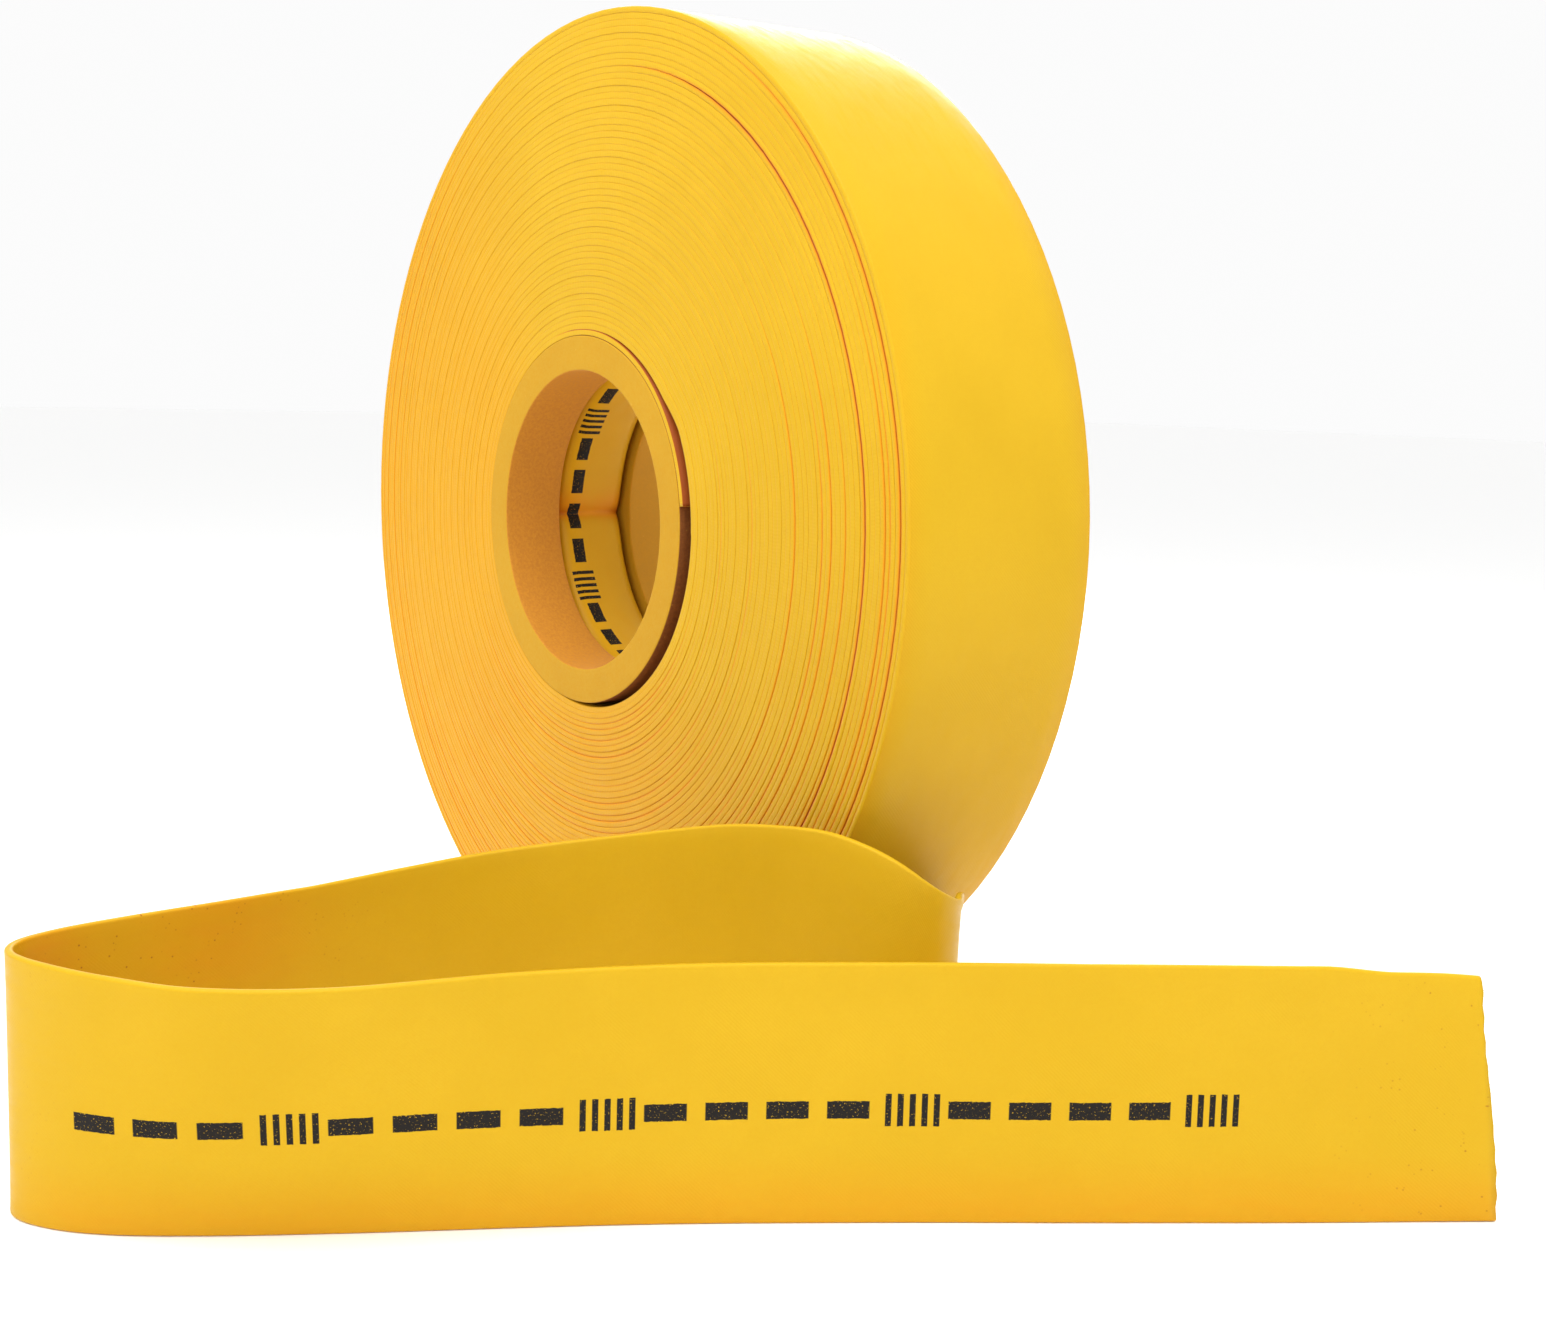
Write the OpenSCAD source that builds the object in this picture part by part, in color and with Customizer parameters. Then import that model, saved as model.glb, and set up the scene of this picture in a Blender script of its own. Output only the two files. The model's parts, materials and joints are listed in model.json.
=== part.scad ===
// Roll of yellow layflat hose, nominal bore 51 mm.
// The flat hose is wound round a pair of short core rings. Its loose end leaves the bottom of
// the roll, turns up on edge, doubles back in front of the roll and ends in a straight cut.
// Frame: origin on the floor under the roll's centre, +Z up, +Y along the roll's axis to the
// back face, +X towards the side where the loose end leaves the roll.

/* [Hose] */
// Width of the hose when it lies flat
flat_w = 84; // [80:1:85]
// Thickness of one wall of the hose
wall_t = 1.05; // [0.8:0.05:1.1]
// Gap left between the two walls of the flat hose
lumen_t = 0.1; // [0.05:0.05:0.15]

/* [Roll] */
// Outside diameter of the roll
roll_d = 407; // [404:1:412]
// Diameter of the hole in the wound turns, round the first turn
hole_d = 163.6; // [163.4:0.1:164]
// Distance from one turn to the next
turn_pitch = 2.4; // [2.4:0.05:2.6]
// Depth of the valleys between the folded edges of the turns
valley_depth = 0.9; // [0.4:0.1:1.5]
// Sideways offset of the hole from the centre of the core rings
hole_shift_x = 2.5; // [2.3:0.1:2.6]
// Height of the hole's centre above the centre of the core rings
hole_shift_z = -0.6; // [-0.8:0.1:-0.4]
// Angle over which the last turn stays open above the start of the loose end
open_angle = 10; // [9:1:12]

/* [Core rings] */
// Outside diameter of a core ring
ring_od = 152.6; // [152:0.1:152.6]
// Bore of a core ring
ring_bore_d = 124; // [110:1:128]
// Width of the front core ring along its axis
front_ring_w = 27; // [18:1:30]
// Width of the back core ring along its axis
back_ring_w = 20; // [18:1:30]
// Width of the bevel on the edges of a core ring
ring_bevel = 1; // [0.5:0.1:2]
// Sideways offset of the core rings from the centre of the roll
ring_shift_x = -13; // [-13.4:0.2:-12.6]
// Height of the core rings' centre above the centre of the roll
ring_shift_z = -2; // [-2.4:0.2:-1.6]

/* [Hidden] */

hose_t = 2 * wall_t + lumen_t;
roll_r = roll_d / 2;
hole_r = hole_d / 2;
// The first turn lies on the core rings with a little room, so that they pull out.
core_room = 0.3;
first_r = ring_od / 2 + core_room;
half_w = flat_w / 2;
fold_r = 0.45 * hose_t;
// Free space left on each side between one turn and its neighbour
turn_gap = 0.1;
wound_r = roll_r - turn_pitch - turn_gap;
hole_x = ring_shift_x + hole_shift_x;
hole_z = ring_shift_z + hole_shift_z;
hole_offset = norm([hole_x, hole_z]);
turn_count = ceil((wound_r - hole_r + hole_offset) / turn_pitch);
round_fn = 96;
hose_yellow = [0.94, 0.75, 0.2];
ring_yellow = [0.86, 0.62, 0.2];

// The route of the loose end, from under the roll to the cut. Each station holds a point of
// the strip's lower edge and the direction from there across the strip.
route = [
    [[0, -42, 1.1], [0, 84, 0]],
    [[36, -42, 1.1], [0, 84, 0]],
    [[70, -42, 1.3], [0, 84, 5]],
    [[103, -42, 1.6], [1, 82, 18]],
    [[134, -39, 2], [2, 73, 42]],
    [[160, -34, 2], [3, 54, 64]],
    [[182, -29, 2], [3, 31, 78]],
    [[201, -26, 3], [2, 11, 83]],
    [[215, -29, 5], [1, 2, 84]],
    [[221, -37, 9], [0, 0, 84]],
    [[220, -45, 14], [0, 0, 84]],
    [[213, -52, 20], [0, 0, 84]],
    [[202, -57, 24], [0, 0, 84]],
    [[186, -61, 26], [0, 0, 84]],
    [[167, -66, 25], [0, 0, 84]],
    [[145, -72, 22], [0, 0, 84]],
    [[123, -79, 17], [0, 0, 84]],
    [[103, -89, 12], [0, 0, 84]],
    [[87, -106, 8], [0, 0, 84]],
    [[77, -132, 5], [0, 0, 84]],
    [[73, -165, 2], [0, 0, 84]],
    [[74, -200, 0], [0, 0, 84]],
    [[78, -234, 0], [0, 0, 84]],
    [[81, -264, 0], [0, 0, 84]],
    [[85, -288, 0], [0, 0, 84]],
    [[92, -303, 0], [0, 0, 84]],
    [[104, -308, 0], [0, 0, 84]],
    [[119, -301, 0], [3, -2, 84]],
    [[133, -287, 0], [9, -5, 83]],
    [[148, -264, 0], [15, -9, 82]],
    [[168, -228, 0], [15, -9, 82]],
    [[194, -181, 0], [7, -4, 84]],
    [[222, -132, 0], [1, -1, 84]],
    [[252, -83, 0], [0, 0, 84]],
    [[283, -35, 0], [0, 0, 84]],
    [[313, 13, 0], [0, 0, 84]],
    [[340, 56, 0], [-1, -2, 84]],
    [[356, 81, 0], [-4, -10, 83]]
];
last_station = len(route) - 1;
// Where along the route the leg swings from the loop, and half of the gap left there
hinge_station = 26.28;
hinge_gap = 0.09;
// Distance between two rings of the sweep, in stations
ring_step = 0.5;

function unit(v) = v / norm(v);
function station(i) = route[max(0, min(i, last_station))];

// A smooth curve through four values that lie evenly along it, at t between the middle two.
function smooth(a, b, c, d, t) = b + t / 2 * (c - a + t * (2 * a - 5 * b + 4 * c - d
    + t * (3 * (b - c) + d - a)));
function smooth_route(u, part) = let (i = floor(u), t = u - i)
    smooth(station(i - 1)[part], station(i)[part], station(i + 1)[part], station(i + 2)[part], t);

// The strip keeps its lower corner on the floor where it leans.
function on_floor(p, a) = [p.x, p.y, max(p.z, hose_t / 2 * norm([a.x, a.y]))];
function across(u) = unit(smooth_route(u, 1));
function middle(u) = on_floor(smooth_route(u, 0), across(u)) + half_w * across(u);
function along(u) = unit(middle(min(u + ring_step, last_station)) - middle(max(u - ring_step, 0)));
function face_normal(u) = unit(cross(along(u), across(u)));
function strip_point(u, p) = middle(u) + p[0] * across(u) + p[1] * face_normal(u);
function ring_places(from, to) = concat(
    [from], [for (u = [ring_step * ceil(from / ring_step + 0.2):ring_step:to - 0.1]) u], [to]);

// Outline of the flat hose: two flat faces and two rounded folds.
flat_outline = [
    [half_w - fold_r, hose_t / 2], [half_w, hose_t / 4],
    [half_w, -hose_t / 4], [half_w - fold_r, -hose_t / 2],
    [-half_w + fold_r, -hose_t / 2], [-half_w, -hose_t / 4],
    [-half_w, hose_t / 4], [-half_w + fold_r, hose_t / 2]
];

// Puts the roll's axis along the children's z, with the front face at positive z.
module on_axis(shift_x = 0, shift_z = 0) {
    translate([shift_x, 0, roll_r + shift_z]) rotate([90, 0, 0]) children();
}

// One turn of flat hose with its outer face at radius r.
module turn(r, start = 0, angle = 360) {
    rotate([0, 0, start]) rotate_extrude(angle = angle, $fn = round_fn)
        translate([r - hose_t / 2, 0]) rotate([0, 0, 90]) polygon(flat_outline);
}

// The edges of the wound turns on one face, from the outermost turn inwards.
function folded_edges() = [for (k = [0:turn_count - 1]) let (r = wound_r - k * turn_pitch) each
    [[r, half_w - valley_depth], [r - turn_pitch / 4, half_w], [r - 3 * turn_pitch / 4, half_w]]];

// All the turns between the first and the last, wound tight.
module wound_turns() {
    front = folded_edges();
    back = [for (i = [len(front) - 1:-1:0]) [front[i][0], -front[i][1]]];
    color(hose_yellow) difference() {
        on_axis() rotate_extrude($fn = round_fn) polygon(concat(front, back));
        on_axis(hole_x, hole_z)
            cylinder(h = 2 * flat_w, r = hole_r, center = true, $fn = round_fn);
    }
}

// The first turn, which lies round the core rings.
module inner_turn() {
    color(hose_yellow) on_axis(ring_shift_x, ring_shift_z) turn(first_r + hose_t);
}

// The last turn. It ends where the loose end starts, at the lowest point of the roll.
module outer_turn() {
    color(hose_yellow) on_axis() turn(roll_r, open_angle - 90, 360 - open_angle);
}

// A stretch of the loose end: the flat outline swept along the route. Both flat faces are
// split along the same diagonal, so that they stay apart where the strip twists.
module strip(from, to) {
    places = ring_places(from, to);
    last = len(places) - 1;
    n = len(flat_outline);
    points = [for (u = places) for (p = flat_outline) strip_point(u, p)];
    sides = [for (k = [0:last - 1]) for (j = [0:n - 1])
        let (a = k * n + j, b = k * n + (j + 1) % n, c = a + n, d = b + n)
        each j == n - 1 ? [[a, b, d], [a, d, c]] : [[a, b, c], [b, d, c]]];
    start_cap = [for (j = [n - 1:-1:0]) j];
    end_cap = [for (j = [0:n - 1]) last * n + j];
    color(hose_yellow) polyhedron(points, concat(sides, [start_cap], [end_cap]));
}

// From under the roll, up on edge, and along to the far bend.
module free_end_loop() {
    strip(0, hinge_station - hinge_gap);
}

// From the far bend to the cut. It swings about the bend.
module free_end_leg() {
    strip(hinge_station + hinge_gap, last_station);
}

// One core ring, with its outer face in line with a face of the roll. The side is 1 for the
// front and -1 for the back.
module core_ring(side, ring_w) {
    wall = (ring_od - ring_bore_d) / 2;
    color(ring_yellow) on_axis(ring_shift_x, ring_shift_z)
        translate([0, 0, side * (half_w - ring_w / 2)]) rotate_extrude($fn = round_fn)
            translate([ring_bore_d / 2, -ring_w / 2]) polygon([
                [ring_bevel, 0], [wall - ring_bevel, 0],
                [wall, ring_bevel], [wall, ring_w - ring_bevel],
                [wall - ring_bevel, ring_w], [ring_bevel, ring_w],
                [0, ring_w - ring_bevel], [0, ring_bevel]
            ]);
}

module front_core_ring() {
    core_ring(1, front_ring_w);
}

module back_core_ring() {
    core_ring(-1, back_ring_w);
}

wound_turns();
inner_turn();
outer_turn();
free_end_loop();
free_end_leg();
front_core_ring();
back_core_ring();
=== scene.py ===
import json
import math

import bpy
import numpy as np
from mathutils import Matrix, Vector


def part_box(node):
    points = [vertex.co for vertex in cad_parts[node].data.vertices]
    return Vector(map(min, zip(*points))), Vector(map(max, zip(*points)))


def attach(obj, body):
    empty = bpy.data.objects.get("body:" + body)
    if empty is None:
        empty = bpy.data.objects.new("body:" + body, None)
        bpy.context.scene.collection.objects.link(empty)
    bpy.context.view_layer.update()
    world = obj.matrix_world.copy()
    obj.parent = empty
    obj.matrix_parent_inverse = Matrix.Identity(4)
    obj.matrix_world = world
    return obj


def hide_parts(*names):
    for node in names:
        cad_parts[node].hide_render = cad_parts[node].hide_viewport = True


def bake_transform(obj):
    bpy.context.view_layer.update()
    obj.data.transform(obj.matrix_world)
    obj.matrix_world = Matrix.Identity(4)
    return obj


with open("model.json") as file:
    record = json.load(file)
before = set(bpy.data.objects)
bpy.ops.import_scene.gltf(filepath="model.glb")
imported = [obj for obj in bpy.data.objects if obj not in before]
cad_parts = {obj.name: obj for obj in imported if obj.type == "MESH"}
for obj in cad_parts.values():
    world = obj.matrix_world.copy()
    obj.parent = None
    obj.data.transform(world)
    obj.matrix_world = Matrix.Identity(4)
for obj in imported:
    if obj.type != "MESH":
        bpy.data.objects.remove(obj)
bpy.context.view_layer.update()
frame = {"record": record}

MM = 0.001
TAU = 2 * math.pi

# ---------------------------------------------------------------- sizes, from the frame
record = frame["record"]
mounts = {mount["name"]: mount for mount in record["mounts"]}
roll_low, roll_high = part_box("outer_turn")
ring_low, ring_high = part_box("front_core_ring")
back_ring_low, back_ring_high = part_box("back_core_ring")
ROLL_RADIUS = (roll_high.x - roll_low.x) / 2
ROLL_CENTRE = Vector((0, 0, ROLL_RADIUS))
FLAT_WIDTH = roll_high.y - roll_low.y
HALF_WIDTH = FLAT_WIDTH / 2
RING_RADIUS = (ring_high.x - ring_low.x) / 2
RING_CENTRE = (ring_low + ring_high) / 2
RING_BORE = mounts["front_spindle_bore"]["dims"]["r_mm"] * MM
# The first turn lies a little off the core rings, so that they pull out.
CORE_ROOM = 0.08 * MM
FIRST_RADIUS = RING_RADIUS + CORE_ROOM
HOSE_THICK = 2.2 * MM
HALF_THICK = HOSE_THICK / 2
WALL = 1.05 * MM

# Turns are counted from three o'clock on the front face, upwards and over the top. The hose
# starts a little above three o'clock and the last turn ends at the lowest point.
FIRST_TURN = 0.022
TURNS = 51.75
# Each turn climbs over the inner end between six o'clock and three o'clock.
CLIMB_START, CLIMB_SPAN = 0.72, 0.28
PITCH = (ROLL_RADIUS - HALF_THICK - FIRST_RADIUS - HALF_THICK) / (TURNS - CLIMB_START)
# How far the second turn stands off the first, beside the inner end
HOLLOW_HEIGHT = 4.7 * MM
# The gap between the core rings, where the first turn swells inwards: its middle and half of
# its width, across the hose, the height of the swelling and the place of the crease in it
PILLOW_MIDDLE = -(ring_high.y + back_ring_low.y) / 2
PILLOW_HALF = (back_ring_low.y - ring_high.y) / 2 - 0.4 * MM
PILLOW_HEIGHT = 12.5 * MM
CREASE_TURN = 0.505
# The printed line lies a little to one side of the hose's middle.
PRINT_SIDE = 5 * MM

# The free end's route, as part.scad has it, in millimetres: a point of the strip's lower
# edge and the direction from there across the strip.
ROUTE = [
    ((0, -42, 1.1), (0, 84, 0)),
    ((36, -42, 1.1), (0, 84, 0)),
    ((70, -42, 1.3), (0, 84, 5)),
    ((103, -42, 1.6), (1, 82, 18)),
    ((134, -39, 2), (2, 73, 42)),
    ((160, -34, 2), (3, 54, 64)),
    ((182, -29, 2), (3, 31, 78)),
    ((201, -26, 3), (2, 11, 83)),
    ((215, -29, 5), (1, 2, 84)),
    ((221, -37, 9), (0, 0, 84)),
    ((220, -45, 14), (0, 0, 84)),
    ((213, -52, 20), (0, 0, 84)),
    ((202, -57, 24), (0, 0, 84)),
    ((186, -61, 26), (0, 0, 84)),
    ((167, -66, 25), (0, 0, 84)),
    ((145, -72, 22), (0, 0, 84)),
    ((123, -79, 17), (0, 0, 84)),
    ((103, -89, 12), (0, 0, 84)),
    ((87, -106, 8), (0, 0, 84)),
    ((77, -132, 5), (0, 0, 84)),
    ((73, -165, 2), (0, 0, 84)),
    ((74, -200, 0), (0, 0, 84)),
    ((78, -234, 0), (0, 0, 84)),
    ((81, -264, 0), (0, 0, 84)),
    ((85, -288, 0), (0, 0, 84)),
    ((92, -303, 0), (0, 0, 84)),
    ((104, -308, 0), (0, 0, 84)),
    ((119, -301, 0), (3, -2, 84)),
    ((133, -287, 0), (9, -5, 83)),
    ((148, -264, 0), (15, -9, 82)),
    ((168, -228, 0), (15, -9, 82)),
    ((194, -181, 0), (7, -4, 84)),
    ((222, -132, 0), (1, -1, 84)),
    ((252, -83, 0), (0, 0, 84)),
    ((283, -35, 0), (0, 0, 84)),
    ((313, 13, 0), (0, 0, 84)),
    ((340, 56, 0), (-1, -2, 84)),
    ((356, 81, 0), (-4, -10, 83)),
]
ROUTE_STEPS = 12
# The station of the far bend
FAR_BEND = 26


# ---------------------------------------------------------------- small helpers
def smoothstep(low, high, x):
    t = np.clip((x - low) / (high - low), 0, 1)
    return t * t * (3 - 2 * t)


def bell(x, centre, width):
    return np.exp(-(((x - centre) / width) ** 2))


def unit_rows(a):
    return a / np.linalg.norm(a, axis=1)[:, None]


def sweep_faces(rings, count, closed_ends=True):
    """Quads between neighbouring rings of a tube, and a cap at each end."""
    i, j = np.meshgrid(np.arange(rings - 1), np.arange(count), indexing="ij")
    a = i * count + j
    b = i * count + (j + 1) % count
    quads = np.stack([a, b, b + count, a + count], axis=-1).reshape(-1, 4).tolist()
    if closed_ends:
        quads.append(list(range(count - 1, -1, -1)))
        quads.append([(rings - 1) * count + k for k in range(count)])
    return quads


def make_piece(name, points, faces, material, values=None):
    """A smooth-shaded mesh object with one float attribute per entry of values."""
    mesh = bpy.data.meshes.new(name)
    mesh.from_pydata(np.asarray(points, float).tolist(), [], faces)
    mesh.validate()
    for key, data in (values or {}).items():
        layer = mesh.attributes.new(key, "FLOAT", "POINT")
        layer.data.foreach_set("value", np.asarray(data, np.float32).ravel())
    mesh.polygons.foreach_set("use_smooth", [True] * len(mesh.polygons))
    mesh.materials.append(material)
    mesh.update()
    piece = bpy.data.objects.new(name, mesh)
    bpy.context.scene.collection.objects.link(piece)
    return piece


# ---------------------------------------------------------------- camera
CAMERA_PLACE = (0.7216, -0.4784, 0.2602)
CAMERA_RIGHT = (0.588, 0.808, 0.026)
CAMERA_FORWARD = (-0.799, 0.586, -0.134)


def make_camera():
    """At the photograph's place: in front of the roll, to its right and a little above it."""
    data = bpy.data.cameras.new("camera")
    data.sensor_width = 36
    data.lens = 47.55
    data.clip_end = 50
    camera = bpy.data.objects.new("camera", data)
    bpy.context.scene.collection.objects.link(camera)
    right = Vector(CAMERA_RIGHT).normalized()
    forward = Vector(CAMERA_FORWARD).normalized()
    up = right.cross(forward).normalized()
    right = forward.cross(up)
    turn = Matrix((right, up, -forward)).transposed().to_4x4()
    camera.matrix_world = Matrix.Translation(CAMERA_PLACE) @ turn
    bpy.context.scene.camera = camera


# ---------------------------------------------------------------- colours
YELLOW_A = (0.555, 0.334, 0.009, 1)
YELLOW_B = (0.582, 0.354, 0.011, 1)
DEEP_YELLOW = (0.55, 0.293, 0.007, 1)
# SHADE_ORANGE and SHADE_MAROON are painted shade on the hose; BROWN is painted shade on the hose
# and the ply lines on the core board.
SHADE_ORANGE = (0.62, 0.245, 0.007, 1)
BROWN = (0.40, 0.085, 0.006, 1)
DARK_BROWN = (0.28, 0.075, 0.010, 1)
SHADE_MAROON = (0.120, 0.024, 0.010, 1)
INK = (0.012, 0.010, 0.009, 1)
BOARD_A, BOARD_B = (0.475, 0.255, 0.010, 1), (0.50, 0.275, 0.011, 1)
BOARD_FIBRE, BOARD_SPECK = (0.50, 0.23, 0.012, 1), (0.66, 0.36, 0.06, 1)
# The bore colours are the board's own brown deepened by painted shade.
BORE_A, BORE_B = (0.45, 0.180, 0.018, 1), (0.52, 0.225, 0.022, 1)
BARE_A, BARE_B = (0.20, 0.062, 0.014, 1), (0.27, 0.090, 0.020, 1)
YARN_A, YARN_B = (0.62, 0.55, 0.38, 1), (0.80, 0.76, 0.62, 1)


# ---------------------------------------------------------------- material nodes
class Nodes:
    """A short way to write a node tree."""

    def __init__(self, name):
        self.material = bpy.data.materials.new(name)
        self.material.use_nodes = True
        self.tree = self.material.node_tree
        self.tree.nodes.clear()
        self.shader = self.add("ShaderNodeBsdfPrincipled")
        out = self.add("ShaderNodeOutputMaterial")
        self.tree.links.new(self.shader.outputs[0], out.inputs[0])

    def add(self, kind, **settings):
        node = self.tree.nodes.new(kind)
        for key, value in settings.items():
            setattr(node, key, value)
        return node

    def put(self, socket, value):
        if isinstance(value, bpy.types.NodeSocket):
            self.tree.links.new(value, socket)
        else:
            socket.default_value = value

    def math(self, operation, a, b=0.0, clamp=False):
        node = self.add("ShaderNodeMath", operation=operation, use_clamp=clamp)
        for socket, value in zip(node.inputs, (a, b)):
            self.put(socket, value)
        return node.outputs[0]

    def value(self, name):
        return self.add("ShaderNodeAttribute", attribute_name=name).outputs["Fac"]

    def place(self):
        return self.add("ShaderNodeTexCoord").outputs["Object"]

    def vector(self, x, y):
        node = self.add("ShaderNodeCombineXYZ")
        for socket, value in zip(node.inputs, (x, y)):
            self.put(socket, value)
        return node.outputs[0]

    def noise(self, vector, scale, detail=2.0, roughness=0.5):
        node = self.add("ShaderNodeTexNoise")
        self.put(node.inputs["Vector"], vector)
        node.inputs["Scale"].default_value = scale
        node.inputs["Detail"].default_value = detail
        node.inputs["Roughness"].default_value = roughness
        return node.outputs["Fac"]

    def cells(self, vector, scale):
        node = self.add("ShaderNodeTexVoronoi")
        self.put(node.inputs["Vector"], vector)
        node.inputs["Scale"].default_value = scale
        return node.outputs["Distance"]

    def range(self, value, low, high, to_low=0.0, to_high=1.0):
        node = self.add("ShaderNodeMapRange", interpolation_type="SMOOTHSTEP")
        for socket, v in zip(node.inputs, (value, low, high, to_low, to_high)):
            self.put(socket, v)
        return node.outputs[0]

    def mix(self, share, a, b):
        node = self.add("ShaderNodeMix", data_type="RGBA")
        self.put(node.inputs["Factor"], share)
        self.put(node.inputs[6], a)
        self.put(node.inputs[7], b)
        return node.outputs[2]

    def bump(self, height, distance, strength=1.0, normal=None):
        node = self.add("ShaderNodeBump")
        node.inputs["Strength"].default_value = strength
        node.inputs["Distance"].default_value = distance
        self.put(node.inputs["Height"], height)
        if normal is not None:
            self.put(node.inputs["Normal"], normal)
        return node.outputs[0]


def weave_height(n, run, side):
    """The plain weave of the yarn, which shows faintly through the cover."""
    yarn = 1.3 * MM
    along = n.math("SINE", n.math("MULTIPLY", run, TAU / yarn))
    across = n.math("SINE", n.math("MULTIPLY", side, TAU / yarn))
    return n.math("MULTIPLY", along, across)


def marking(n, run, off, ragged):
    """A generic printed row of dashes, with a block of ticks after every fourth dash. off is
    the distance from the row's middle."""
    period, group = 19 * MM, 95 * MM
    place = n.math("FRACT", n.math("DIVIDE", run, period))
    in_group = n.math("FRACT", n.math("DIVIDE", run, group))
    off = n.math("ADD", n.math("ABSOLUTE", off), n.math("MULTIPLY", ragged, 0.5 * MM))
    dash = n.math("MULTIPLY", n.range(place, 0.08, 0.1), n.range(place, 0.80, 0.78))
    dash = n.math("MULTIPLY", dash, n.range(off, 3.2 * MM, 3.0 * MM))
    tick_place = n.math("FRACT", n.math("DIVIDE", run, period / 5))
    tick = n.math("MULTIPLY", n.range(tick_place, 0.22, 0.27), n.range(tick_place, 0.78, 0.73))
    tick = n.math("MULTIPLY", tick, n.range(off, 5.6 * MM, 5.4 * MM))
    ticks_here = n.range(in_group, 0.799, 0.801)
    dash = n.math("MULTIPLY", dash, n.math("SUBTRACT", 1.0, ticks_here))
    tick = n.math("MULTIPLY", tick, ticks_here)
    return n.math("ADD", dash, tick, clamp=True)


def pinholes(n, cloth):
    """Rows of small holes where the cover has been stretched over the yarn."""
    holes = n.range(n.cells(cloth, 430.0), 0.2, 0.07)
    patches = n.range(n.noise(cloth, 90.0, 2.0), 0.48, 0.6)
    return n.math("MULTIPLY", holes, patches)


def hose_material():
    """Yellow satin PVC over a woven reinforcement. The mesh's values say where on the hose a
    point is (run, side), where the print is (print_off, marked), where pinholes show (worn), and
    how far painted shade turns the yellow orange (warm), brown (valley) or maroon (deep)."""
    n = Nodes("yellow_pvc")
    place = n.place()
    run, side = n.value("run"), n.value("side")
    cloth = n.vector(run, side)
    broad = n.noise(place, 14.0, 3.0, 0.55)
    fine = n.noise(place, 900.0, 2.0, 0.6)
    streak = n.noise(n.vector(n.math("MULTIPLY", run, 0.25), side), 260.0, 3.0, 0.6)
    colour = n.mix(n.range(broad, 0.35, 0.68), YELLOW_A, YELLOW_B)
    colour = n.mix(n.range(fine, 0.3, 0.75, 0.0, 0.18), colour, DEEP_YELLOW)
    weave = weave_height(n, run, side)
    threads = n.math("MULTIPLY", n.range(weave, 0.1, -0.7), n.range(streak, 0.35, 0.75))
    colour = n.mix(n.math("MULTIPLY", threads, 0.12), colour, DEEP_YELLOW)
    # Painted shade from the mesh: orange, brown in the lines between turns and the crease, maroon
    # beside the inner end.
    orange_shade = n.math("MULTIPLY", n.value("orange_shade"), n.range(streak, 0.2, 0.8, 0.75, 1.0))
    colour = n.mix(orange_shade, colour, SHADE_ORANGE)
    valley_shade = n.value("valley_shade")
    colour = n.mix(n.range(valley_shade, 0.0, 0.5), colour, SHADE_ORANGE)
    colour = n.mix(n.range(valley_shade, 0.45, 1.0), colour, BROWN)
    colour = n.mix(n.value("deep_shade"), colour, SHADE_MAROON)
    holes = n.math("MULTIPLY", pinholes(n, cloth), n.value("worn"))
    colour = n.mix(n.math("MULTIPLY", holes, 0.85), colour, DARK_BROWN)
    flakes = n.noise(cloth, 1500.0, 2.0, 0.7)
    ink = marking(n, run, n.value("print_off"), n.noise(cloth, 700.0, 1.0))
    ink = n.math("MULTIPLY", ink, n.range(flakes, 0.30, 0.38))
    ink = n.math("MULTIPLY", ink, n.range(n.value("marked"), 0.45, 0.55))
    n.put(n.shader.inputs["Base Color"], n.mix(ink, colour, INK))
    n.put(n.shader.inputs["Roughness"], n.range(streak, 0.3, 0.8, 0.34, 0.50))
    n.shader.inputs["Specular IOR Level"].default_value = 0.11
    wrinkle = n.bump(n.noise(place, 55.0, 2.0, 0.5), 0.6 * MM, 0.3)
    grain = n.bump(fine, 0.05 * MM, 0.35, wrinkle)
    n.put(n.shader.inputs["Normal"], n.bump(weave, 0.03 * MM, 0.5, grain))
    return n.material


def core_material():
    """Coated board in the hose's yellow, browner inside the bore, partly by painted shade, and bare
    brown outside.
    """
    n = Nodes("core_board")
    place = n.place()
    broad = n.noise(place, 22.0, 3.0, 0.6)
    fibre = n.noise(place, 750.0, 3.0, 0.7)
    board = n.mix(n.range(broad, 0.3, 0.7), BOARD_A, BOARD_B)
    board = n.mix(n.range(fibre, 0.4, 0.75, 0.0, 0.35), board, BOARD_FIBRE)
    ply = n.math("SINE", n.math("MULTIPLY", n.value("radius"), TAU / (1.5 * MM)))
    ply = n.math("MULTIPLY", n.range(ply, 0.82, 0.98), n.value("face"))
    board = n.mix(n.math("MULTIPLY", ply, 0.06), board, BROWN)
    # The bore's brown is partly the board's own colour and partly painted shade, as much as each
    # ring's inner value says.
    bore = n.mix(n.range(fibre, 0.3, 0.7), BORE_A, BORE_B)
    board = n.mix(n.value("inner"), board, bore)
    bare = n.mix(n.range(fibre, 0.3, 0.7), BARE_A, BARE_B)
    board = n.mix(n.value("outer"), board, bare)
    specks = n.range(n.cells(place, 260.0), 0.12, 0.05)
    board = n.mix(n.math("MULTIPLY", specks, 0.25), board, BOARD_SPECK)
    n.put(n.shader.inputs["Base Color"], board)
    n.put(n.shader.inputs["Roughness"], n.range(fibre, 0.3, 0.8, 0.62, 0.8))
    n.shader.inputs["Specular IOR Level"].default_value = 0.18
    coarse = n.bump(broad, 0.5 * MM, 0.3)
    n.put(n.shader.inputs["Normal"], n.bump(fibre, 0.08 * MM, 0.5, coarse))
    return n.material


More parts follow.
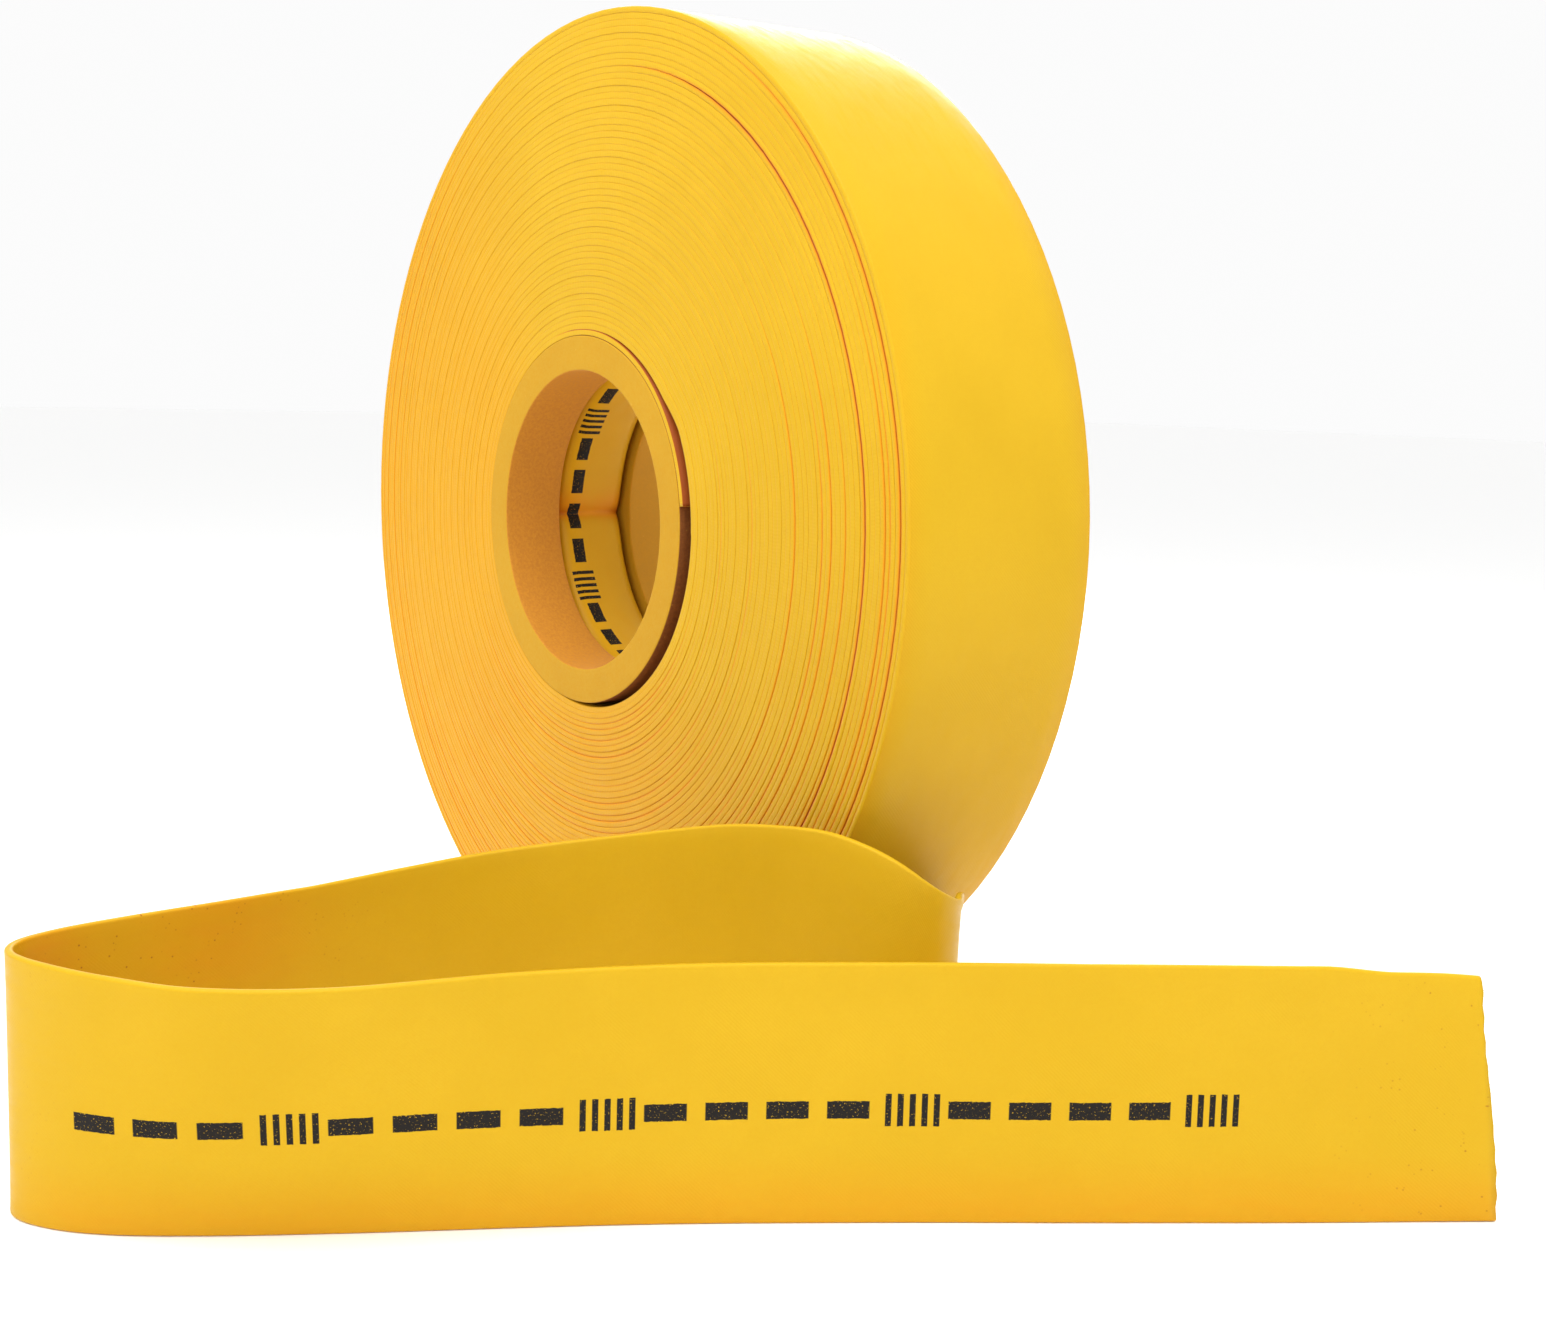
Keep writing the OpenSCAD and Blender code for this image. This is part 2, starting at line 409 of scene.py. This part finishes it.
def yarn_material():
    """Pale polyester yarn, twisted."""
    n = Nodes("polyester_yarn")
    place = n.place()
    twist = n.noise(place, 1800.0, 2.0, 0.6)
    colour = n.mix(n.range(twist, 0.3, 0.7), YARN_A, YARN_B)
    n.put(n.shader.inputs["Base Color"], colour)
    n.put(n.shader.inputs["Roughness"], n.range(twist, 0.2, 0.8, 0.5, 0.7))
    n.put(n.shader.inputs["Normal"], n.bump(twist, 0.05 * MM, 0.6))
    return n.material


# ---------------------------------------------------------------- cross-sections
def flat_section(outer_across, inner_across, fold_points, square):
    """Outline of a flat hose as rows of (side, out, fold). side and out run from -1 to 1, and
    fold, from 0 to 1, is how far a point stands out round a folded edge. square sets how
    square the folds are."""
    turn = np.linspace(0, math.pi, fold_points + 2)[1:-1]
    stand = np.sin(turn) ** square
    out = np.sign(np.cos(turn)) * np.abs(np.cos(turn)) ** square
    rows = [(x, 1, 0) for x in outer_across] + [(1, 1, 0)]
    rows += [(1, o, f) for o, f in zip(out, stand)] + [(1, -1, 0)]
    rows += [(x, -1, 0) for x in reversed(inner_across)] + [(-1, -1, 0)]
    rows += [(-1, o, f) for o, f in zip(out[::-1], stand[::-1])] + [(-1, 1, 0)]
    return np.array(rows, float)


def section_sides(section, half_width, fold_depth):
    """Distance across the hose of each outline point, ring by ring."""
    side, fold = section[None, :, 0], section[None, :, 2]
    return side * (half_width - fold_depth)[:, None] + np.sign(side) * fold * fold_depth[:, None]


def swept(middle, across, outward, side, out):
    return (middle[:, None] + side[..., None] * across[:, None]
            + out[..., None] * outward[:, None])


def lengths(points):
    """Distance along a row of points, from the first to each."""
    return np.concatenate([[0], np.cumsum(np.linalg.norm(np.diff(points, axis=0), axis=1))])


# ---------------------------------------------------------------- the roll
# Lines between turns that stand out on the face, by a wider gap and painted shade: the turn,
# how far before and after three o'clock the line reaches, and how strong it is.
OPEN_LINES = [
    (9, 0.10, 0.02, 0.25), (17, 0.14, 0.02, 0.25), (27, 0.16, 0.04, 0.35),
    (33, 0.20, 0.01, 0.45), (35, 0.20, 0.03, 0.40), (38, 0.22, 0.00, 0.35),
    (42, 0.24, 0.17, 1.00), (46, 0.22, 0.02, 0.45), (47, 0.20, 0.03, 0.40),
    (49, 0.24, 0.12, 0.70),
]


def climb(turn):
    """Whole turns since the climb's start, the share of a turn since then, and how much of the
    steep climb over the inner end is done, from 0 to 1."""
    past = np.maximum(turn - CLIMB_START, 0)
    x = past % 1
    return np.floor(past), x, np.sin(math.pi / 2 * np.clip(x / CLIMB_SPAN, 0, 1)) ** 1.25


def over_inner_end(turn):
    """The hollow that each turn leaves beside the inner end, from 0 to 1: it opens from six
    o'clock to three, stays open to a kink and closes at twelve. It dies out outwards."""
    whole, x, rise = climb(turn)
    fall = np.interp(x, [CLIMB_SPAN, 0.36, 0.39, 0.44, 0.486, 0.53], [1, 1, 0.45, 0.25, 0.1, 0])
    return np.where(x < CLIMB_SPAN, rise, fall) * np.exp(-whole / 12)


def turns_climbed(turn):
    """How many thicknesses of hose the spiral has climbed. Near the core each turn climbs in
    a quarter of a turn, and further out it climbs evenly."""
    whole, x, steep = climb(turn)
    return whole + steep + (x - steep) * smoothstep(2, 14, turn)


def centre_line(turn):
    """The middle of the hose wall at each turn, and the direction away from the roll's axis."""
    angle = turn * TAU
    outward = np.stack([np.cos(angle), np.zeros_like(angle), np.sin(angle)], axis=1)
    radius = FIRST_RADIUS + HALF_THICK + PITCH * turns_climbed(turn)
    radius = radius + HOLLOW_HEIGHT * over_inner_end(turn)
    core, roll = np.array(RING_CENTRE), np.array(ROLL_CENTRE)
    core[1] = 0
    centre = core + (roll - core) * (turn / TURNS)[:, None]
    return centre + outward * radius[:, None], outward


def room_outside(turn):
    """Distance from the middle of one turn to the middle of the next."""
    here, outward = centre_line(turn)
    there = centre_line(turn + 1)[0]
    return ((there - here) * outward).sum(axis=1)


def line_strength(turn):
    """How open the line outside a turn is, and how strong its painted shade, from 0 to 1. Low on
    the roll, where the turns hang a little slack, many lines show, and few do above."""
    angle = turn * TAU
    low, left = -np.sin(angle), -np.cos(angle)
    wander = 0.28 * np.sin(2.3 * turn + 0.7) + 0.22 * np.sin(5.1 * turn + 2 * np.sin(1.7 * turn))
    ragged = smoothstep(-0.05, 0.32, wander)
    outer = smoothstep(30, 48, turn)
    on_right = 1 - smoothstep(-0.2, 0.7, left)
    strength = smoothstep(0.1, 0.95, low) * on_right * (0.10 + 0.55 * ragged) * (0.6 + 0.4 * outer)
    strength += smoothstep(0.2, 0.95, low) * (1 - on_right) * (0.12 + 0.25 * ragged)
    strength += outer * smoothstep(0.35, 0.95, left) * 0.30 * ragged
    for line, before, after, most in OPEN_LINES:
        here = smoothstep(line - before - 0.06, line - before + 0.1, turn)
        here = here * (1 - smoothstep(line + after - 0.02, line + after + 0.08, turn))
        strength = np.maximum(strength, most * here)
    between = smoothstep(0.9, 1.6, turn) * (turn < TURNS - 1)
    return np.clip(strength, 0, 1) * between


def half_thickness(room, strength):
    """Half of a turn's thickness on one side, so that it meets its neighbour but for the gap."""
    gap = (0.01 + 0.22 * strength ** 1.5) * MM
    return np.clip((room - gap) / 2, 0.95 * MM, 1.38 * MM)


def pillow_of_first_turn(turn, side):
    """How far the first turn swells inwards between the core rings, and the painted shade of the
    crease that crosses it at nine o'clock, which reaches further above the crease than below."""
    past_crease = turn - CREASE_TURN
    crease = np.exp(-np.abs(past_crease) / 0.011)[:, None]
    share = np.clip(np.abs(side - PILLOW_MIDDLE) / (PILLOW_HALF * (1 - 0.02 * crease)), 0, 1)
    ends = smoothstep(FIRST_TURN, 0.09, turn) * (1 - smoothstep(0.93, 1.0, turn))
    height = PILLOW_HEIGHT * np.sqrt(1 - share ** 8) * ends[:, None] * (1 - 0.34 * crease)
    fade = np.where(past_crease < 0, 0.020, 0.005)
    shade = np.exp(-np.abs(past_crease) / fade)[:, None] * (0.5 + 0.45 * share) * (share < 1)
    return height, shade


def make_roll(material):
    """The wound hose: one flat tube in a spiral."""
    fine_until, fine_rings, rings_per_turn = 1.2, 400, 112
    turn = np.concatenate([
        np.linspace(FIRST_TURN, fine_until, fine_rings)[:-1],
        np.linspace(fine_until, TURNS, int((TURNS - fine_until) * rings_per_turn)),
    ])
    middle, outward = centre_line(turn)
    sway = 0.10 * np.sin(turn * 2.3) + 0.06 * np.sin(turn * 5.9 + 1)
    middle[:, 1] += sway * MM * smoothstep(0, 2, turn) * smoothstep(0, 0.8, TURNS - turn)
    across = np.tile([0.0, -1.0, 0.0], (len(turn), 1))
    swell = np.array([0.3, 0.6, 0.8, 0.9, 0.955, 0.985, 1.0])
    swell = np.concatenate([-swell[::-1], [0], swell])
    inner_across = [-0.8, *(PILLOW_MIDDLE + PILLOW_HALF * swell) / HALF_WIDTH, 0.6, 0.8]
    section = flat_section(np.linspace(-0.75, 0.75, 7), inner_across, 5, 0.7)
    outside, inside = line_strength(turn), line_strength(turn - 1)
    outer_half = np.where(turn < TURNS - 1, half_thickness(room_outside(turn), outside), HALF_THICK)
    inner_half = np.where(turn > 1, half_thickness(room_outside(turn - 1), inside), HALF_THICK)
    rim = smoothstep(TURNS - 1.4, TURNS - 0.9, turn)
    fold_depth = (0.09 + 0.5 * np.maximum(outside, inside) + 0.35 * rim) * MM
    side = section_sides(section, HALF_WIDTH - 0.2 * MM, fold_depth)
    out_share = section[None, :, 1]
    out = out_share * np.where(out_share > 0, outer_half[:, None], inner_half[:, None])
    height, crease_shade = pillow_of_first_turn(turn, side)
    on_inner_face = (out_share < -0.99) & (np.abs(section[None, :, 0]) < 0.99)
    out = out - height * on_inner_face
    points = swept(middle, across, outward, side, out)
    strength = np.where(out_share > 0, outside[:, None], inside[:, None])
    at_fold = np.abs(section[None, :, 0]) > 0.99
    # Painted shade: the folds at the lines between turns darken to orange and brown, and so do the
    # crease across the first turn and the hose beside the hollow at the inner end, which also goes
    # maroon.
    valley_shade = (strength + 0.13) * smoothstep(0.3, 1.0, np.abs(out_share)) * at_fold
    beside_hollow = (1 - smoothstep(0.26, 0.3, turn))[:, None] * (out_share > 0.9)
    under_hollow = over_inner_end(turn)[:, None] * (turn < 1.3)[:, None] * (out_share < -0.9)
    valley_shade = valley_shade + crease_shade * on_inner_face + 0.9 * beside_hollow
    # Painted shade: orange at the lines, on the swelling in the bore, low on the face and to its
    # left.
    low, left = -np.sin(turn * TAU)[:, None], -np.cos(turn * TAU)[:, None]
    outer_surface = at_fold | (out_share > 0)
    orange_shade = 0.3 * smoothstep(0.2, 1.0, strength) * at_fold + 0.3 * (height > 0) * on_inner_face
    orange_shade = orange_shade + 0.4 * smoothstep(0.45, 1.0, low) * outer_surface
    orange_shade = orange_shade + 0.5 * smoothstep(0.2, 1.0, left) * outer_surface
    values = {
        "run": np.repeat(lengths(middle), section.shape[0]),
        "side": side,
        "print_off": side - PRINT_SIDE,
        "valley_shade": valley_shade,
        "marked": on_inner_face * (turn < fine_until)[:, None],
        "worn": np.zeros(side.size),
        "orange_shade": orange_shade,
        "deep_shade": np.maximum(0.35 * beside_hollow, 0.85 * under_hollow),
    }
    faces = sweep_faces(*side.shape)
    roll = make_piece("hose_roll", points.reshape(-1, 3), faces, material, values)
    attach(roll, "roll")
    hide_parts("wound_turns", "inner_turn", "outer_turn")
    return values["run"][-1]


# ---------------------------------------------------------------- the free end
def smooth(a, b, c, d, t):
    return b + t / 2 * (c - a + t * (2 * a - 5 * b + 4 * c - d + t * (3 * (b - c) + d - a)))


def route_at(u, part):
    """The route's edge point (part 0) or direction (part 1) at each station u, smoothed."""
    table = np.array([station[part] for station in ROUTE], float)
    last = len(ROUTE) - 1
    i = np.minimum(np.floor(u).astype(int), last)
    t = (u - i)[:, None]
    pick = [table[np.clip(i + k, 0, last)] for k in (-1, 0, 1, 2)]
    return smooth(*pick, t)


def free_end_frame():
    """Station, middle line, direction across and face normal of the free end, ring by ring."""
    last = len(ROUTE) - 1
    u = np.linspace(0, last, last * ROUTE_STEPS + 1)
    edge = route_at(u, 0)
    across = unit_rows(route_at(u, 1))
    lean = np.linalg.norm(across[:, :2], axis=1)
    edge[:, 2] = np.maximum(edge[:, 2], lean * HALF_THICK / MM)
    middle = edge * MM + HALF_WIDTH * across
    normal = unit_rows(np.cross(np.gradient(middle, axis=0), across))
    return u, middle, across, normal


def ripples(run, side):
    """Slow waves of a hose that has been wound for long, up to about 1 mm high."""
    return MM * (0.5 * np.sin(run * 41)[:, None] * np.cos(side * 52)
                 + 0.35 * np.sin(run[:, None] * 23 + side * 60))


def cut_shift(side):
    """How far the cut runs out of square, across the hose."""
    share = side / HALF_WIDTH
    ragged = 0.22 * np.sin(share * 31) + 0.15 * np.sin(share * 73 + 1)
    return MM * (2 * bell(share, -0.5, 0.6) + ragged)


def make_free_end(material, wound_length):
    """The loose end, from the lowest point of the roll to the cut, where its two walls part."""
    u, middle, across, normal = free_end_frame()
    run = lengths(middle)
    from_cut = run[-1] - run
    across_steps = np.linspace(-1, 1, 21)[1:-1]
    section = flat_section(across_steps, across_steps, 6, 0.85)
    lowered = smoothstep(0.055, 0.03, from_cut) * MM
    middle = middle - across * (0.9 * lowered)[:, None]
    half_width = HALF_WIDTH - 0.9 * lowered
    side = section_sides(section, half_width, np.full(len(u), 1.1 * MM))
    share = side / HALF_WIDTH
    parting = smoothstep(0.03, 0.0, from_cut)[:, None] * 0.9 * MM * np.clip(1 - share ** 2, 0, 1)
    half = HALF_THICK + 0.25 * MM * np.abs(share) ** 6 + parting
    held = smoothstep(0.02, 0.12, run)[:, None] * (1 - bell(u, FAR_BEND, 2.2))[:, None]
    wave = ripples(run, side) * held
    out = section[None, :, 1] * half + wave
    points = swept(middle, across, normal, side, out)
    along = unit_rows(np.gradient(middle, axis=0))
    points[-1] += cut_shift(side[-1])[:, None] * along[-1]

    # From the cut the inside of the hose runs back to a dead end.
    lumen = []
    for depth in (0, 2, 5, 9):
        k = int(np.argmin(np.abs(from_cut - depth * MM)))
        inner_side = side[k] * (HALF_WIDTH - 1.5 * WALL) / HALF_WIDTH
        inner_out = section[:, 1] * np.maximum(half[k] - WALL, 0.06 * MM) + wave[k]
        ring = middle[k] + inner_side[:, None] * across[k] + inner_out[:, None] * normal[k]
        if depth == 0:
            ring = ring + cut_shift(inner_side)[:, None] * along[k]
        lumen.append(ring)
    rows, cols = side.shape
    every = np.concatenate([points.reshape(-1, 3), np.concatenate(lumen)])
    every[:, 2] = np.maximum(every[:, 2], 0.02 * MM)

    front = smoothstep(FAR_BEND + 1.2, FAR_BEND + 1.6, u) * smoothstep(0.075, 0.08, from_cut)
    faces_out = section[None, :, 1] > 0.5
    worn = bell(u, FAR_BEND - 2.6, 2.4)[:, None] + 0.8 * bell(from_cut, 0.0, 0.04)[:, None]
    # Painted shade: orange low on the far bend and the leg after it, and on the upper strip just
    # before that bend.
    low = smoothstep(-0.35, -1.0, share) * smoothstep(FAR_BEND - 1, FAR_BEND + 2, u)[:, None]
    near_bend = (bell(u, FAR_BEND - 1.6, 0.9) + 0.8 * bell(u, FAR_BEND - 4.0, 1.1))[:, None]
    orange_shade = 0.55 * low + 0.7 * near_bend * smoothstep(-0.2, 0.6, share)
    # The inside of the hose at the cut gets painted shade, brown and orange.
    pad = np.zeros(len(lumen) * cols)
    values = {
        "run": np.concatenate([np.repeat(run + wound_length, cols), pad + run[-1] + wound_length]),
        "side": np.concatenate([side.ravel(), np.tile(side[-1], len(lumen))]),
        "print_off": np.concatenate([side.ravel() + PRINT_SIDE, pad]),
        "valley_shade": np.concatenate([np.zeros(rows * cols), pad + 0.8]),
        "marked": np.concatenate([(front[:, None] * faces_out).ravel(), pad]),
        "worn": np.concatenate([np.broadcast_to(worn, side.shape).ravel(), pad]),
        "orange_shade": np.concatenate([np.clip(orange_shade, 0, 1).ravel(), pad + 0.4]),
        "deep_shade": np.zeros((rows + len(lumen)) * cols),
    }
    faces = sweep_faces(rows + len(lumen), cols)
    strip = make_piece("hose_free_end", every, faces, material, values)
    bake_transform(strip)
    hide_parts("free_end_loop", "free_end_leg")
    yarns = make_yarn_ends(middle[-1], across[-1], normal[-1], along[-1], half[-1], side[-1])


def make_yarn_ends(middle, across, normal, along, half, side):
    """Stray ends of the reinforcing yarn that stand out of the cut walls."""
    random = np.random.default_rng(11)
    points, faces = [], []
    yarn_count, rings, corners = 26, 5, 5
    for place in np.sort(random.uniform(-0.97, 0.97, yarn_count)):
        wall = random.choice([-1, 1])
        parted = np.interp(abs(place) * HALF_WIDTH, np.abs(side[:10])[::-1], half[:10][::-1])
        start = (middle + place * HALF_WIDTH * across + wall * (parted - WALL / 2) * normal
                 + (cut_shift(place * HALF_WIDTH) - 0.4 * MM) * along)
        reach = random.uniform(1.2, 3.2) * MM
        bend = random.uniform(-0.7, 0.7, 2)
        radius = random.uniform(0.10, 0.17) * MM
        first = len(points)
        for step in np.linspace(0, 1, rings):
            centre = (start + along * reach * step
                      + (across * bend[0] + normal * bend[1]) * reach * step ** 2)
            for k in range(corners):
                angle = TAU * k / corners
                thin = radius * (1 - 0.4 * step)
                points.append(centre + thin * (math.cos(angle) * across + math.sin(angle) * normal))
        faces += [[first + v for v in face] for face in sweep_faces(rings, corners)]
    yarns = make_piece("yarn_ends", points, faces, yarn_material())
    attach(yarns, "loose_leg")
    return yarns


# ---------------------------------------------------------------- the core rings
def ring_profile(half, round_r):
    """Outline of the ring's wall as rows of (radius, depth), with rounded corners, from the
    outer face at the front, round the bore and back."""
    corners = [(RING_RADIUS, half), (RING_BORE, half), (RING_BORE, -half), (RING_RADIUS, -half)]
    rows = []
    for k, (radius, depth) in enumerate(corners):
        inwards = 1 if radius == RING_BORE else -1
        centre_radius = radius + inwards * round_r
        centre_depth = depth - math.copysign(round_r, depth)
        for angle in np.linspace(0, math.pi / 2, 5) + k * math.pi / 2:
            rows.append((centre_radius + round_r * math.cos(angle),
                         centre_depth + round_r * math.sin(angle)))
        next_radius, next_depth = corners[(k + 1) % 4]
        for share in (0.12, 0.35, 0.65, 0.88):
            rows.append((radius + (next_radius - radius) * share,
                         depth + (next_depth - depth) * share))
    return np.array(rows)


def make_core_ring(name, body, node, low, high, bore_tint_and_shade, material):
    """A short tube of wound board with rubbed edges. bareness is how brown its bore is, partly
    the board's own colour and partly painted shade.
    """
    half = (high.y - low.y) / 2
    centre = (low + high) / 2
    profile = ring_profile(half, 0.6 * MM)
    angle = np.linspace(0, TAU, 192, endpoint=False)
    dent = MM * (0.06 * np.abs(np.sin(3 * angle + 1)) + 0.04 * np.abs(np.sin(7 * angle)))
    radius = profile[None, :, 0] - dent[:, None]
    depth = np.broadcast_to(profile[None, :, 1], radius.shape)
    points = np.stack([
        centre.x + radius * np.cos(angle)[:, None],
        centre.y + depth,
        centre.z + radius * np.sin(angle)[:, None],
    ], axis=-1)
    rows, cols = radius.shape
    ring_of_quads = sweep_faces(rows + 1, cols, closed_ends=False)
    faces = [[v % (rows * cols) for v in quad] for quad in ring_of_quads]
    inner = np.broadcast_to(profile[None, :, 0] < RING_BORE + 0.3 * MM, radius.shape)
    values = {
        "radius": radius,
        "face": np.abs(np.abs(depth) - half) < 0.3 * MM,
        "inner": bore_tint_and_shade * inner,
        "outer": np.broadcast_to(profile[None, :, 0] > RING_RADIUS - 0.1 * MM, radius.shape),
    }
    ring = make_piece(name, points.reshape(-1, 3), faces, material, values)
    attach(ring, body)
    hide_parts(node)


# ---------------------------------------------------------------- floor and light
def make_floor():
    n = Nodes("pale_floor")
    n.shader.inputs["Base Color"].default_value = (0.98, 0.98, 0.975, 1)
    n.shader.inputs["Roughness"].default_value = 0.6
    n.shader.inputs["Specular IOR Level"].default_value = 0.2
    size = 12.0
    corners = [(-size, -size, 0), (size, -size, 0), (size, size, 0), (-size, size, 0)]
    floor = make_piece("floor", corners, [[0, 1, 2, 3]], n.material)


def area_light(name, place, target, size, power):
    data = bpy.data.lights.new(name, "AREA")
    data.shape = "RECTANGLE"
    data.size, data.size_y = size
    data.energy = power
    light = bpy.data.objects.new(name, data)
    bpy.context.scene.collection.objects.link(light)
    light.location = place
    light.rotation_mode = "QUATERNION"
    light.rotation_quaternion = (Vector(target) - Vector(place)).to_track_quat("-Z", "Y")


def make_lights():
    world = bpy.data.worlds.new("studio")
    bpy.context.scene.world = world
    world.use_nodes = True
    background = world.node_tree.nodes["Background"]
    background.inputs["Color"].default_value = (1.0, 1.0, 1.0, 1)
    background.inputs["Strength"].default_value = 0.97
    area_light("overhead", (0.25, -0.35, 1.4), (0.1, -0.15, 0), (1.2, 0.9), 15)
    area_light("right_fill", (1.5, -0.9, 1.0), (0.05, -0.05, 0.05), (1.4, 1.0), 7)
    area_light("left_fill", (-0.1, -1.35, 1.5), (0.05, -0.08, 0.05), (1.4, 1.0), 5.5)
    area_light("glow_behind", (-1.3, 1.15, 0.95), (0, 0, 0.35), (1.4, 0.8), 30)


bpy.context.scene.view_settings.view_transform = "Standard"
make_camera()
hose = hose_material()
board = core_material()
wound = make_roll(hose)
make_free_end(hose, wound)
# The number before the material is how brown each bore is, partly painted shade: the back ring's
# bore is painted lighter, as if lit more.
make_core_ring("core_ring_front", "front_core", "front_core_ring", ring_low, ring_high, 1.0, board)
make_core_ring("core_ring_back", "back_core", "back_core_ring", back_ring_low, back_ring_high,
               0.4, board)
make_floor()
make_lights()
